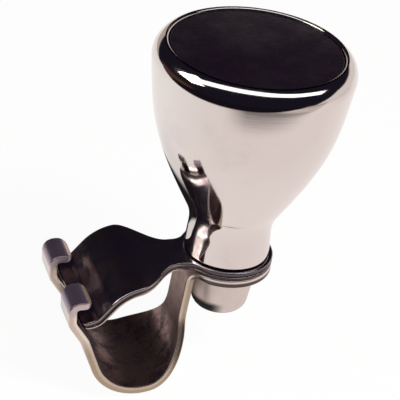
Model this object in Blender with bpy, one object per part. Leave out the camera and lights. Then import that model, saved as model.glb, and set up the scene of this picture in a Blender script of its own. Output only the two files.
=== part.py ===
"""Steering wheel spinner knob: a goblet-shaped knob on a three-leaf rim clamp.

The origin is the centre of the wheel rim's section, where the clamp closes round it.
+X runs from the rim to the knob's post, +Y runs along the rim, and +Z runs along the
axis that the knob spins about. Sizes are in metres, angles in radians.
"""

from math import acos, asin, atan2, ceil, cos, hypot, pi, radians, sin, sqrt

import bmesh
import bpy

# Clearances
LEAF_GAP = 0.0002
SEAT_GAP = 0.0003
RUNNING_GAP = 0.0003
RACE_GAP = 0.00025

# Rim channel: the strap runs down the post side, round the rim and up the front
CHANNEL_RADIUS = 0.0110
TONGUE_TOP = 0.0181
STRAP_THICK = 0.0020
WALL_LEAN = radians(4)
FRONT_LEAN = radians(21)
FRONT_RUN = 0.0084
LEG_LEAN = radians(33)
LEG_BEND_RADIUS = 0.0060
LEG_RUN = 0.0051
LEG_TOP_LEAN = radians(3)
LEG_TOP_RADIUS = 0.0015
CLAMP_HALF_WIDTH = 0.0136

# Hooks: the front wall is split into two legs, each folded over as a hook
HOOK_DROP = 0.0048
HOOK_RADIUS = 0.0006
HOOK_REACH = 0.0030
HOOK_CORNER = 0.0012
SLOT_HALF_WIDTH = 0.0055
SLOT_ROOT_Z = 0.0031
SLOT_CORNER = 0.0025

# Tongue: the three leaves lie in a round-ended stack about the post
TONGUE_RADIUS = 0.0114
TONGUE_FILLET = 0.0040
TONGUE_FLAT = 0.0070
TONGUE_BEND_RADIUS = 0.0040
STRAP_WAIST = 0.0048
STRAP_FLARE_START = 0.0220
STRAP_FLARE_LENGTH = 0.0180

# Saddle plate and the thinner liner under it
PLATE_THICK = 0.0011
LINER_THICK = 0.0007
PLATE_WAIST = 0.0054
PLATE_FLARE_START = 0.0136
PLATE_FLARE_LENGTH = 0.0116
SADDLE_RADIUS = 0.0119
SADDLE_TURN = radians(51)
SADDLE_RUN = 0.0038
LIP_RADIUS = 0.0025
LIP_TURN = radians(37)
LIP_CORNER = 0.0030
LIP_STEP = 0.00005
EDGE_ROUND = 0.00035
EDGE_SHARE = 0.45

# Knob shell: neck, goblet wall, rounded shoulder, mouth with a ledge for the disc
NECK_BASE_RADIUS = 0.0105
NECK_WAIST_RADIUS = 0.0097
NECK_LENGTH = 0.0074
NECK_FILLET = 0.0060
GOBLET_FLARE = radians(30.5)
GOBLET_TOP_RADIUS = 0.0234
GOBLET_TOP_LEAN = radians(6.5)
SHOULDER_Z = 0.0494
SHOULDER_ROUND = 0.0046
FLARE_REACH = 0.0195
WALL_REACH = 0.0150
SHELL_WALL = 0.0012
MOUTH_INSET = 0.0034
MOUTH_CHAMFER = 0.0003
LEDGE_WIDTH = 0.0024
LEDGE_THICK = 0.0012
DISC_THICK = 0.0013
DISC_INSET = 0.0006
DISC_CROWN = 0.0004
DISC_CHAMFER = 0.0003

# Post, its bearing and its nut
POST_RADIUS = 0.0039
SQUARE_SIDE = 0.0080
BASE_WASHER_THICK = 0.0005
BASE_WASHER_WIDTH = 0.0039
BUSH_LENGTH = 0.0070
BUSH_FLANGE = 0.0009
BALL_COUNT = 10
BALL_RADIUS = 0.0020
BALL_PITCH_RADIUS = 0.0074
BALL_Z = 0.0182
RACE_DEPTH = 0.0012
CUP_DEPTH = 0.0046
CUP_RIM = 0.0026
CONE_THICK = 0.0026
CONE_RIM = 0.0030
BOLT_HEAD_RADIUS = 0.0074
BOLT_HEAD_HEIGHT = 0.0046
BOLT_HEAD_ROUND = 0.0014
SPRING_WASHER_THICK = 0.0007
SPRING_WASHER_WIDTH = 0.0027
SPRING_WASHER_SLIT = 0.0010
NUT_LENGTH = 0.0102
NUT_TOP_RADIUS = 0.0071
NUT_END_RADIUS = 0.0067
NUT_END_ROUND = 0.0011
NUT_TOP_CHAMFER = 0.0004
NUT_FLOOR = 0.0032
NUT_SLOT_WIDTH = 0.0018
NUT_SLOT_DEPTH = 0.0015
THREAD_CHAMFER = 0.0006

# Fineness of the round forms and of the leaves' outlines
SHELL_STEPS = 48
INNER_STEPS = 28
ARC_STEP = radians(8)
WALL_STEPS = 11
TIP_STEPS = 13
TIP_FIRST = radians(6)
FILLET_STEPS = 3
FLARE_STEPS = 8
CORNER_STEPS = 4
CORNER_SWEEP = radians(78)
POINT_SPACING = 0.00025


def clear_scene():
    for item in list(bpy.data.objects):
        bpy.data.objects.remove(item, do_unlink=True)


def finish(name, colour, metallic, roughness):
    """A plain Principled material with the given base colour."""
    made = bpy.data.materials.new(name)
    made.use_nodes = True
    shader = made.node_tree.nodes["Principled BSDF"]
    shader.inputs["Base Color"].default_value = (*colour, 1.0)
    shader.inputs["Metallic"].default_value = metallic
    shader.inputs["Roughness"].default_value = roughness
    return made


def add_object(name, mesh_data, material, parent=None, location=(0, 0, 0)):
    made = bpy.data.objects.new(name, mesh_data)
    mesh_data.materials.append(material)
    made.location = location
    made.parent = parent
    bpy.context.scene.collection.objects.link(made)
    return made


def add_axis(name, location):
    """An empty on the axis that a group of pieces turns about."""
    made = bpy.data.objects.new(name, None)
    made.location = location
    bpy.context.scene.collection.objects.link(made)
    return made


def mesh_from(bm, name, sharp_angle=radians(35)):
    """Turn a bmesh into smooth-shaded mesh data with its folds kept crisp."""
    bmesh.ops.recalc_face_normals(bm, faces=bm.faces)
    made = bpy.data.meshes.new(name)
    bm.to_mesh(made)
    bm.free()
    made.shade_smooth()
    made.set_sharp_from_angle(angle=sharp_angle)
    return made


def arc(centre, radius, start, end, steps):
    """Points along an arc in the radius and height plane, ends included."""
    points = []
    for i in range(steps + 1):
        angle = start + (end - start) * i / steps
        points.append((centre[0] + radius * cos(angle), centre[1] + radius * sin(angle)))
    return points


def bezier(a, b, c, d, steps):
    """Points along a cubic curve from a to d, with b and c as its handles."""
    points = []
    for i in range(steps + 1):
        t = i / steps
        s = 1 - t
        weights = (s ** 3, 3 * s * s * t, 3 * s * t * t, t ** 3)
        points.append(tuple(sum(w * p[k] for w, p in zip(weights, (a, b, c, d))) for k in (0, 1)))
    return points


def turned(name, outline, steps=INNER_STEPS, closed=True):
    """Spin an outline of (radius, height) points round the post's axis.

    A closed outline makes a ring. An open one starts and ends on the axis.
    """
    bm = bmesh.new()
    verts = [bm.verts.new((r, 0, z)) for r, z in outline]
    edges = [bm.edges.new(pair) for pair in zip(verts, verts[1:])]
    if closed:
        edges.append(bm.edges.new((verts[-1], verts[0])))
    bmesh.ops.spin(bm, geom=verts + edges, cent=(0, 0, 0), axis=(0, 0, 1),
                   angle=2 * pi, steps=steps, use_merge=True)
    bmesh.ops.remove_doubles(bm, verts=bm.verts, dist=1e-7)
    return mesh_from(bm, name)


def cut(target, cutter):
    """Subtract a cutter, which stays in the file as a wire guide."""
    cutter.hide_render = True
    cutter.display_type = "WIRE"
    step = target.modifiers.new("cut_" + cutter.name, "BOOLEAN")
    step.operation = "DIFFERENCE"
    step.solver = "EXACT"
    step.object = cutter


def add_box(name, low, high, material, parent=None, location=(0, 0, 0)):
    bm = bmesh.new()
    bmesh.ops.create_cube(bm, size=1.0)
    for vert in bm.verts:
        vert.co = [lo + (hi - lo) * (c + 0.5) for lo, hi, c in zip(low, high, vert.co)]
    return add_object(name, mesh_from(bm, name), material, parent, location)


class Fold:
    """The line that one face of a folded sheet follows, seen along the rim.

    It starts at the tip of the tongue and heads for the rim. The sheet's thickness
    lies to the left of its travel. Distances along it are counted from the post.
    """

    def __init__(self, x, z, heading, distance):
        self.pieces = []
        self.place = (x, z, heading)
        self.start = distance
        self.end = distance
        self.marks = {}

    def mark(self, name):
        """Remember the distance reached so far."""
        self.marks[name] = self.end

    def run(self, length):
        """Go straight on."""
        self.add(length, 0.0)

    def turn(self, radius, angle):
        """Fold the sheet: left for a positive angle, right for a negative one."""
        self.add(radius * abs(angle), (1 if angle > 0 else -1) / radius)

    def add(self, length, bend):
        self.pieces.append((self.end, self.place, bend))
        self.place = self.along(self.place, bend, length)
        self.end += length

    @staticmethod
    def along(place, bend, length):
        x, z, heading = place
        if bend == 0:
            return (x + length * cos(heading), z + length * sin(heading), heading)
        turned_to = heading + bend * length
        x += (sin(turned_to) - sin(heading)) / bend
        z -= (cos(turned_to) - cos(heading)) / bend
        return (x, z, turned_to)

    def at(self, distance):
        """Place and heading at a distance along the sheet."""
        begun, place, bend = self.pieces[0]
        for piece in self.pieces:
            if piece[0] <= distance + 1e-9:
                begun, place, bend = piece
        return self.along(place, bend, distance - begun)

    def stations(self):
        """The ends of each run, and steps round each fold."""
        found = [self.start]
        ends = [piece[0] for piece in self.pieces[1:]] + [self.end]
        for (begun, _, bend), end in zip(self.pieces, ends):
            steps = max(1, ceil(abs(bend) * (end - begun) / ARC_STEP - 1e-6))
            found += [begun + (end - begun) * i / steps for i in range(1, steps + 1)]
        return found


def tongue_half_width(distance, waist):
    """Half the width of the round-ended tongue and of its narrow waist."""
    centre = sqrt((TONGUE_RADIUS + TONGUE_FILLET) ** 2 - (waist + TONGUE_FILLET) ** 2)
    tangent = centre * TONGUE_RADIUS / (TONGUE_RADIUS + TONGUE_FILLET)
    if distance < tangent:
        return sqrt(max(TONGUE_RADIUS ** 2 - distance ** 2, 0))
    if distance < centre:
        return waist + TONGUE_FILLET - sqrt(TONGUE_FILLET ** 2 - (centre - distance) ** 2)
    return waist


def sheet_half_width(distance, end, waist, flare_start, flare_length, corner):
    """Half the width of a leaf: tongue, waist, flare to full width, rounded end."""
    flare = min(max((distance - flare_start) / flare_length, 0), 1)
    width = tongue_half_width(distance, waist)
    width += (CLAMP_HALF_WIDTH - waist) * (1 - cos(pi * flare)) / 2
    into_corner = max(distance - (end - corner), 0)
    return width - corner + sqrt(max(corner ** 2 - into_corner ** 2, 0))


def outline_stations(waist, flare_start, flare_length, end, corner):
    """Distances where the outline of a leaf needs a point."""
    centre = sqrt((TONGUE_RADIUS + TONGUE_FILLET) ** 2 - (waist + TONGUE_FILLET) ** 2)
    tangent = centre * TONGUE_RADIUS / (TONGUE_RADIUS + TONGUE_FILLET)
    last = pi - atan2(sqrt(TONGUE_RADIUS ** 2 - tangent ** 2), tangent)
    tip_turn = (last - TIP_FIRST) / TIP_STEPS
    sweep = asin((centre - tangent) / TONGUE_FILLET)
    found = [-TONGUE_RADIUS * cos(TIP_FIRST + tip_turn * i) for i in range(TIP_STEPS + 1)]
    for i in range(FILLET_STEPS + 1):
        found.append(centre - TONGUE_FILLET * sin(sweep * (1 - i / FILLET_STEPS)))
    for i in range(FLARE_STEPS + 1):
        found.append(flare_start + flare_length * i / FLARE_STEPS)
    for i in range(CORNER_STEPS + 1):
        found.append(end - corner * (1 - sin(CORNER_SWEEP * i / CORNER_STEPS)))
    return found


def merged(distances, end):
    """Sort the distances, and drop any that nearly repeat the one before."""
    kept = []
    for distance in sorted(d for d in distances if d < end - POINT_SPACING):
        if not kept or distance - kept[-1] > POINT_SPACING:
            kept.append(distance)
    return kept + [end]


def sheet_section(half_width, thickness):
    """The rounded outline across a sheet, as (along the rim, into the sheet)."""
    edge = min(EDGE_ROUND, EDGE_SHARE * thickness, EDGE_SHARE * half_width)
    loop = []
    for side, base in ((1, 0.0), (1, pi / 2), (-1, pi), (-1, 1.5 * pi)):
        depth = edge if base in (0.0, 1.5 * pi) else thickness - edge
        for i in range(3):
            angle = base - pi / 2 + i * pi / 4
            loop.append((side * (half_width - edge) + edge * cos(angle), depth + edge * sin(angle)))
    return loop


def add_leaf(name, fold, thickness, shape, material):
    """Loft a rounded sheet along its fold, and cap both ends."""
    waist, flare_start, flare_length, corner = shape
    end = fold.end
    last = end - corner * (1 - sin(CORNER_SWEEP))
    places = fold.stations()[1:] + outline_stations(waist, flare_start, flare_length, end, corner)
    bm = bmesh.new()
    rings = []
    for distance in merged(places, last):
        x, z, heading = fold.at(distance)
        half_width = sheet_half_width(distance, end, waist, flare_start, flare_length, corner)
        ring = []
        for y, depth in sheet_section(half_width, thickness):
            ring.append(bm.verts.new((x - depth * sin(heading), y, z + depth * cos(heading))))
        rings.append(ring)
    for near, far in zip(rings, rings[1:]):
        for i in range(len(near)):
            j = (i + 1) % len(near)
            bm.faces.new((near[i], near[j], far[j], far[i]))
    bm.faces.new(rings[0])
    bm.faces.new(rings[-1])
    return add_object(name, mesh_from(bm, name), material)


def strap_top():
    """Height of the strap's tongue above the rim's centre."""
    return TONGUE_TOP - PLATE_THICK - LINER_THICK - 2 * LEAF_GAP


def post_x():
    """How far the post stands from the rim's centre."""
    turn = pi / 2 - WALL_LEAN
    wall = wall_length()
    reach = TONGUE_FLAT + TONGUE_BEND_RADIUS * sin(turn)
    return reach + wall * sin(WALL_LEAN) + CHANNEL_RADIUS * cos(WALL_LEAN)


def wall_length():
    """Straight run of the strap's wall between the tongue and the round channel."""
    turn = pi / 2 - WALL_LEAN
    top = strap_top() - TONGUE_BEND_RADIUS * (1 - cos(turn))
    return (top + CHANNEL_RADIUS * sin(WALL_LEAN)) / cos(WALL_LEAN)


def strap_fold():
    """The strap's channel side, from the tongue's tip to the end of the hook."""
    line = Fold(post_x() + TONGUE_RADIUS, strap_top(), pi, -TONGUE_RADIUS)
    line.run(TONGUE_RADIUS + TONGUE_FLAT)
    line.turn(TONGUE_BEND_RADIUS, pi / 2 - WALL_LEAN)
    line.run(wall_length())
    line.turn(CHANNEL_RADIUS, -(pi - WALL_LEAN - FRONT_LEAN))
    line.mark("front wall")
    line.run(FRONT_RUN)
    line.turn(LEG_BEND_RADIUS, LEG_LEAN - FRONT_LEAN)
    line.run(LEG_RUN)
    line.turn(LEG_TOP_RADIUS, LEG_TOP_LEAN - LEG_LEAN)
    hook_start = TONGUE_TOP - HOOK_DROP - HOOK_RADIUS * (1 + sin(LEG_TOP_LEAN))
    line.run((hook_start - line.place[1]) / cos(LEG_TOP_LEAN))
    line.mark("hook")
    line.turn(HOOK_RADIUS, -(pi / 2 + LEG_TOP_LEAN))
    line.run(HOOK_REACH)
    return line


def saddle_fold(depth, lip):
    """The upper face of a saddle leaf that lies at a depth below the tongue's top."""
    line = Fold(post_x() + TONGUE_RADIUS, TONGUE_TOP - depth, pi, -TONGUE_RADIUS)
    line.run(TONGUE_RADIUS + post_x())
    line.turn(SADDLE_RADIUS - depth, SADDLE_TURN)
    line.run(SADDLE_RUN)
    line.turn(LIP_RADIUS + depth, -LIP_TURN)
    line.run(lip)
    return line


def lip_length(depth, thickness, front_wall):
    """Length of lip that brings a leaf's lower corner to its seat on the front wall."""
    lip = 0.0
    clear = SEAT_GAP
    while clear >= SEAT_GAP and lip < CHANNEL_RADIUS:
        lip += LIP_STEP
        x, z, heading = saddle_fold(depth, lip).place
        corner = (x - thickness * sin(heading), z + thickness * cos(heading))
        clear = min(hypot(corner[0] - wall[0], corner[1] - wall[1]) for wall in front_wall)
    return lip - LIP_STEP


def add_clamp(chrome, steel):
    """The saddle plate, its liner and the strap, each with a square hole for the post."""
    strap_line = strap_fold()
    start, end = strap_line.marks["front wall"], strap_line.marks["hook"]
    steps = ceil((end - start) / LIP_STEP)
    front_wall = [strap_line.at(start + (end - start) * i / steps)[:2] for i in range(steps + 1)]
    plate_line = saddle_fold(0.0, lip_length(0.0, PLATE_THICK, front_wall))
    depth = PLATE_THICK + LEAF_GAP
    liner_line = saddle_fold(depth, lip_length(depth, LINER_THICK, front_wall))
    saddle_shape = (PLATE_WAIST, PLATE_FLARE_START, PLATE_FLARE_LENGTH, LIP_CORNER)
    strap_shape = (STRAP_WAIST, STRAP_FLARE_START, STRAP_FLARE_LENGTH, HOOK_CORNER)
    plate = add_leaf("saddle_plate", plate_line, PLATE_THICK, saddle_shape, chrome)
    liner = add_leaf("saddle_liner", liner_line, LINER_THICK, saddle_shape, steel)
    strap = add_leaf("rim_strap", strap_line, STRAP_THICK, strap_shape, chrome)
    side = SQUARE_SIDE / 2 + SEAT_GAP
    stack = PLATE_THICK + LINER_THICK + STRAP_THICK + 2 * LEAF_GAP
    hole = add_box("post_hole_cutter", (-side, -side, -2 * stack), (side, side, stack),
                   steel, None, (post_x(), 0, TONGUE_TOP))
    for leaf in (plate, liner, strap):
        cut(leaf, hole)
    cut(strap, add_slot_cutter(strap_line, steel))


def add_slot_cutter(strap_line, material):
    """The slot between the hooks: a long window with rounded lower corners."""
    half, corner = SLOT_HALF_WIDTH, SLOT_CORNER
    top = TONGUE_TOP + STRAP_THICK
    window = [(half, top), (-half, top)]
    window += arc((-half + corner, SLOT_ROOT_Z + corner), corner, pi, 1.5 * pi, 5)
    window += arc((half - corner, SLOT_ROOT_Z + corner), corner, -pi / 2, 0, 5)
    front_end = strap_line.at(strap_line.marks["hook"])[0] - 2 * STRAP_THICK
    channel_side = strap_line.at(strap_line.marks["front wall"])[0] + STRAP_THICK
    bm = bmesh.new()
    face = bm.faces.new([bm.verts.new((front_end, y, z)) for y, z in window])
    grown = bmesh.ops.extrude_face_region(bm, geom=[face])
    moved = [item for item in grown["geom"] if isinstance(item, bmesh.types.BMVert)]
    bmesh.ops.translate(bm, verts=moved, vec=(channel_side - front_end, 0, 0))
    return add_object("slot_cutter", mesh_from(bm, "slot_cutter"), material)


def neck_base():
    """Height of the neck's base above the tongue, on top of the base washer."""
    return LEAF_GAP + BASE_WASHER_THICK + RUNNING_GAP


def shell_outer():
    """Outer side of the knob from the neck's base to the start of the shoulder."""
    base = neck_base()
    points = []
    for i in range(5):
        t = i / 4
        radius = NECK_WAIST_RADIUS + (NECK_BASE_RADIUS - NECK_WAIST_RADIUS) * (1 - t) ** 2
        points.append((radius, base + MOUTH_CHAMFER + (NECK_LENGTH - MOUTH_CHAMFER) * t))
    centre = (NECK_WAIST_RADIUS + NECK_FILLET, base + NECK_LENGTH)
    points += arc(centre, NECK_FILLET, pi, pi - GOBLET_FLARE, 4)[1:]
    start = points[-1]
    end = (GOBLET_TOP_RADIUS, SHOULDER_Z)
    first = (start[0] + FLARE_REACH * sin(GOBLET_FLARE), start[1] + FLARE_REACH * cos(GOBLET_FLARE))
    second = (end[0] - WALL_REACH * sin(GOBLET_TOP_LEAN), end[1] - WALL_REACH * cos(GOBLET_TOP_LEAN))
    return points + bezier(start, first, second, end, WALL_STEPS)[1:]


def shell_inner():
    """Inner side of the knob's wall, a wall's thickness in from the outer side."""
    outer = shell_outer()
    points = []
    for i in range(1, len(outer) - 1):
        (r0, z0), (r1, z1) = outer[i - 1], outer[i + 1]
        length = hypot(r1 - r0, z1 - z0)
        inward = (-(z1 - z0) / length * SHELL_WALL, (r1 - r0) / length * SHELL_WALL)
        points.append((outer[i][0] + inward[0], outer[i][1] + inward[1]))
    return points


def radius_at(points, height):
    """Radius of a turned outline at a height, read between its points."""
    for (r0, z0), (r1, z1) in zip(points, points[1:]):
        if z0 <= height <= z1:
            return r0 + (r1 - r0) * (height - z0) / (z1 - z0)
    return points[0][0] if height < points[0][1] else points[-1][0]


def shoulder_centre():
    """Centre of the shoulder's round, level with the top of the wall."""
    return (GOBLET_TOP_RADIUS - SHOULDER_ROUND * cos(GOBLET_TOP_LEAN),
            SHOULDER_Z + SHOULDER_ROUND * sin(GOBLET_TOP_LEAN))


def mouth_radius():
    """Radius of the opening that the black disc sits in."""
    return GOBLET_TOP_RADIUS - MOUTH_INSET


def mouth_angle():
    """How far round the shoulder the mouth's chamfer begins."""
    return acos((mouth_radius() + MOUTH_CHAMFER - shoulder_centre()[0]) / SHOULDER_ROUND)


def disc_top():
    """Height of the black disc's edge, just below the mouth."""
    return shoulder_centre()[1] + SHOULDER_ROUND * sin(mouth_angle()) - DISC_INSET


def add_knob(axis, chrome, black, bronze, steel):
    """The pieces that spin: shell, disc, bush and bearing cup."""
    centre = shoulder_centre()
    mouth = centre[1] + SHOULDER_ROUND * sin(mouth_angle()) - MOUTH_CHAMFER
    ledge_top = disc_top() - DISC_THICK - LEAF_GAP
    ledge_under = ledge_top - LEDGE_THICK
    inner = shell_inner()
    base = neck_base()
    outline = [(NECK_BASE_RADIUS - MOUTH_CHAMFER, base)] + shell_outer()
    outline += arc(centre, SHOULDER_ROUND, -GOBLET_TOP_LEAN, mouth_angle(), 8)[1:]
    outline += [(mouth_radius(), mouth), (mouth_radius(), ledge_top)]
    ledge = mouth_radius() - LEDGE_WIDTH
    outline += [(ledge, ledge_top), (ledge, ledge_under)]
    outline += [(radius_at(inner, ledge_under) - SHELL_WALL, ledge_under)]
    outline += [point for point in reversed(inner[::2]) if point[1] < ledge_under - SHELL_WALL]
    outline += [(inner[0][0], base)]
    add_object("knob_shell", turned("knob_shell", outline, SHELL_STEPS), chrome, axis)

    disc_radius = mouth_radius() - LEAF_GAP
    top = disc_top()
    disc = [(0, top - DISC_THICK), (disc_radius, top - DISC_THICK), (disc_radius, top - DISC_CHAMFER)]
    for i in range(5):
        radius = (disc_radius - DISC_CHAMFER) * (1 - i / 4)
        rise = DISC_CROWN * (1 - (radius / disc_radius) ** 2)
        disc.append((radius, top + rise))
    add_object("top_disc", turned("top_disc", disc, SHELL_STEPS, closed=False), black, axis)

    bore = POST_RADIUS + RUNNING_GAP
    body = min(r for r, z in inner) - SEAT_GAP
    bush_top = base + BUSH_LENGTH
    flange = inner[0][0] - SEAT_GAP
    bush = [(bore, base), (flange, base), (flange, base + BUSH_FLANGE), (body, base + BUSH_FLANGE),
            (body, bush_top), (bore, bush_top)]
    add_object("lower_bush", turned("lower_bush", bush), bronze, axis)

    race = BALL_RADIUS + RACE_GAP
    open_angle = asin((race - RACE_DEPTH) / race)
    cup_top = BALL_Z - race + RACE_DEPTH
    cup_low = cup_top - CUP_DEPTH
    seat = SEAT_GAP / cos(GOBLET_FLARE)
    groove = arc((BALL_PITCH_RADIUS, BALL_Z), race, -open_angle, -pi + open_angle, 8)
    cup = [(radius_at(inner, cup_low) - seat, cup_low), (radius_at(inner, cup_top) - seat, cup_top)]
    cup_bore = BALL_PITCH_RADIUS - CUP_RIM
    cup += groove + [(cup_bore, cup_top), (cup_bore, cup_low)]
    add_object("bearing_cup", turned("bearing_cup", cup), steel, axis)


def add_balls(axis, steel):
    """Loose balls between the cup and the cone, evenly spread round the post."""
    for i in range(BALL_COUNT):
        angle = 2 * pi * i / BALL_COUNT
        bm = bmesh.new()
        bmesh.ops.create_uvsphere(bm, u_segments=12, v_segments=7, radius=BALL_RADIUS)
        name = "ball_%02d" % (i + 1)
        place = (BALL_PITCH_RADIUS * cos(angle), BALL_PITCH_RADIUS * sin(angle), BALL_Z)
        add_object(name, mesh_from(bm, name, pi), steel, axis, place)


def add_post(post, steel, fibre, chrome):
    """The pieces that stand still on the clamp: bolt, cone, washers and nut."""
    washer_low = LEAF_GAP
    washer_high = LEAF_GAP + BASE_WASHER_THICK
    bore = SQUARE_SIDE / 2 * sqrt(2) + LEAF_GAP
    rim = bore + BASE_WASHER_WIDTH
    washer = [(bore, washer_low), (rim, washer_low), (rim, washer_high), (bore, washer_high)]
    add_object("base_washer", turned("base_washer", washer, SHELL_STEPS), fibre, None, post)

    race = BALL_RADIUS + RACE_GAP
    open_angle = asin((race - RACE_DEPTH) / race)
    cone_low = BALL_Z + race - RACE_DEPTH
    cone_top = cone_low + CONE_THICK
    groove = arc((BALL_PITCH_RADIUS, BALL_Z), race, pi - open_angle, open_angle, 8)
    cone_bore = POST_RADIUS + SEAT_GAP
    cone = [(cone_bore, cone_top), (cone_bore, cone_low)] + groove
    cone_rim = BALL_PITCH_RADIUS + CONE_RIM
    cone += [(cone_rim, cone_low), (cone_rim, cone_top)]
    add_object("bearing_cone", turned("bearing_cone", cone), steel, None, post)

    stack_low = -(PLATE_THICK + LINER_THICK + STRAP_THICK + 2 * LEAF_GAP)
    spring_high = stack_low - LEAF_GAP
    spring_low = spring_high - SPRING_WASHER_THICK
    nut_top = spring_low - LEAF_GAP
    nut_low = nut_top - NUT_LENGTH
    nut_bore = POST_RADIUS + SEAT_GAP

    head_low = cone_top + LEAF_GAP
    head_top = head_low + BOLT_HEAD_HEIGHT
    bolt_end = nut_low + NUT_FLOOR + SEAT_GAP
    head_round = arc((BOLT_HEAD_RADIUS - BOLT_HEAD_ROUND, head_top - BOLT_HEAD_ROUND),
                     BOLT_HEAD_ROUND, 0, pi / 2, 3)
    bolt = [(0, bolt_end), (POST_RADIUS - THREAD_CHAMFER, bolt_end),
            (POST_RADIUS, bolt_end + THREAD_CHAMFER), (POST_RADIUS, head_low),
            (BOLT_HEAD_RADIUS, head_low)] + head_round + [(0, head_top)]
    made = add_object("pivot_bolt", turned("pivot_bolt", bolt, closed=False), steel, None, post)
    side = SQUARE_SIDE / 2
    square = add_box("square_neck_former", (-side, -side, stack_low), (side, side, 0.0),
                     steel, None, post)
    square.hide_render = True
    square.display_type = "WIRE"
    step = made.modifiers.new("square_neck", "BOOLEAN")
    step.operation = "UNION"
    step.solver = "EXACT"
    step.object = square

    rim = nut_bore + SPRING_WASHER_WIDTH
    spring = [(nut_bore, spring_low), (rim, spring_low), (rim, spring_high), (nut_bore, spring_high)]
    made = add_object("lock_washer", turned("lock_washer", spring), steel, None, post)
    reach = 2 * rim
    slit = SPRING_WASHER_SLIT / 2
    cut(made, add_box("washer_slit_cutter", (0, -slit, spring_low - reach),
                      (reach, slit, spring_high + reach), steel, None, post))

    taper = (NUT_TOP_RADIUS - NUT_END_RADIUS) / NUT_LENGTH
    end_round = arc((NUT_END_RADIUS - NUT_END_ROUND, nut_low + NUT_END_ROUND),
                    NUT_END_ROUND, -pi / 2, 0, 4)
    nut = [(0, nut_low)] + end_round
    nut += [(NUT_TOP_RADIUS - taper * NUT_TOP_CHAMFER, nut_top - NUT_TOP_CHAMFER),
            (NUT_TOP_RADIUS - NUT_TOP_CHAMFER, nut_top), (nut_bore, nut_top),
            (nut_bore, nut_low + NUT_FLOOR), (0, nut_low + NUT_FLOOR)]
    made = add_object("clamp_nut", turned("clamp_nut", nut, closed=False), chrome, None, post)
    reach = 2 * NUT_TOP_RADIUS
    slot = NUT_SLOT_WIDTH / 2
    cut(made, add_box("nut_slot_cutter", (-reach, -slot, nut_low - NUT_LENGTH),
                      (reach, slot, nut_low + NUT_SLOT_DEPTH), steel, None, post))


def main():
    clear_scene()
    chrome = finish("chrome", (0.80, 0.77, 0.76), 1.0, 0.08)
    steel = finish("bright_steel", (0.62, 0.60, 0.58), 1.0, 0.25)
    black = finish("black_enamel", (0.010, 0.007, 0.012), 0.0, 0.20)
    bronze = finish("bush_bronze", (0.55, 0.36, 0.16), 1.0, 0.35)
    fibre = finish("washer_fibre", (0.05, 0.035, 0.03), 0.0, 0.70)
    post = (post_x(), 0, TONGUE_TOP)
    add_clamp(chrome, steel)
    add_post(post, steel, fibre, chrome)
    add_knob(add_axis("knob_axis", post), chrome, black, bronze, steel)
    add_balls(add_axis("ball_axis", post), steel)


main()
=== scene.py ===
# %% [markdown]
# # A steering wheel spinner knob
# A goblet-shaped chrome knob spins on a post. The post is bolted through three leaves of
# pressed sheet, which close round a steering wheel's rim. The lesson loads the measured
# solids first, so every surface below is drawn in their frame: the origin is the centre of
# the rim's section, +X runs to the post, +Y along the rim and +Z up the knob's axis.

# %% Load the measured solids
from math import atan2, cos, pi, radians, sin, sqrt, tan

import bpy
import numpy as np
from mathutils import Matrix, Vector


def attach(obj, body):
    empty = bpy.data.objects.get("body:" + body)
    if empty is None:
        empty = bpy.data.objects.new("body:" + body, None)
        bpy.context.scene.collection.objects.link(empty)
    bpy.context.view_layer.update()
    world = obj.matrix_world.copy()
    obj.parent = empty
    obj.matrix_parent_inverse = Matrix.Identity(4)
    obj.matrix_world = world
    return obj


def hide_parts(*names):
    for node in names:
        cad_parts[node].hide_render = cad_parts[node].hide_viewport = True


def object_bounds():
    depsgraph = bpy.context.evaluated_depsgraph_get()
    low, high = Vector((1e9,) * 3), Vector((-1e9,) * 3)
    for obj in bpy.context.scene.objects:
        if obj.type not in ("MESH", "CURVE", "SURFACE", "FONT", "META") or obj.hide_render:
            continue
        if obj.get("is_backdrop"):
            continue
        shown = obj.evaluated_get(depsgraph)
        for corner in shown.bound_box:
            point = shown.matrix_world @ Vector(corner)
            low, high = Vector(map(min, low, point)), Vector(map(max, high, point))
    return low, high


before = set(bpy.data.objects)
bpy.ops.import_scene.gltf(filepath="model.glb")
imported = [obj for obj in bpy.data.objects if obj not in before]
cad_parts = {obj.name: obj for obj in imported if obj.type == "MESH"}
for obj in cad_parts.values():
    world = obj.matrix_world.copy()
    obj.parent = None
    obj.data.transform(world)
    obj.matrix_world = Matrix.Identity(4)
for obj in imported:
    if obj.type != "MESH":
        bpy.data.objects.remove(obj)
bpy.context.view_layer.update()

# %% [markdown]
# ## The camera
# The photograph looks down about 30 degrees on the knob, with the rim turned 24 degrees to
# the left, and the whole picture leans 9 degrees. A long lens stands about 35 cm away. The
# knob isn't in the middle of the picture, so the lens is shifted a little, as on a view
# camera.

# %% Camera at the photograph's angle
def add_object(name, data):
    """A new object in the scene."""
    made = bpy.data.objects.new(name, data)
    bpy.context.scene.collection.objects.link(made)
    return made


POST_X = 0.0228688
TONGUE_TOP = 0.0181
IMAGE_WIDTH = 400
AIM_PIXEL = (240.25, 157.9)
PIXELS_PER_MM = 4.289
AIM_HEIGHT = 0.025
SIGHT_DISTANCE = 0.350
LOOK_DOWN = radians(29.7)
LOOK_ROUND = radians(24)
LEAN = radians(8.97)
SENSOR = 36.0

front = Vector((-sin(LOOK_ROUND), -cos(LOOK_ROUND), 0))
level = Vector((cos(LOOK_ROUND), -sin(LOOK_ROUND), 0))
ahead = Vector((sin(LOOK_ROUND) * cos(LOOK_DOWN), cos(LOOK_ROUND) * cos(LOOK_DOWN),
                -sin(LOOK_DOWN)))
upward = level.cross(ahead)
right = cos(LEAN) * level + sin(LEAN) * upward
top = -sin(LEAN) * level + cos(LEAN) * upward

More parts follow.
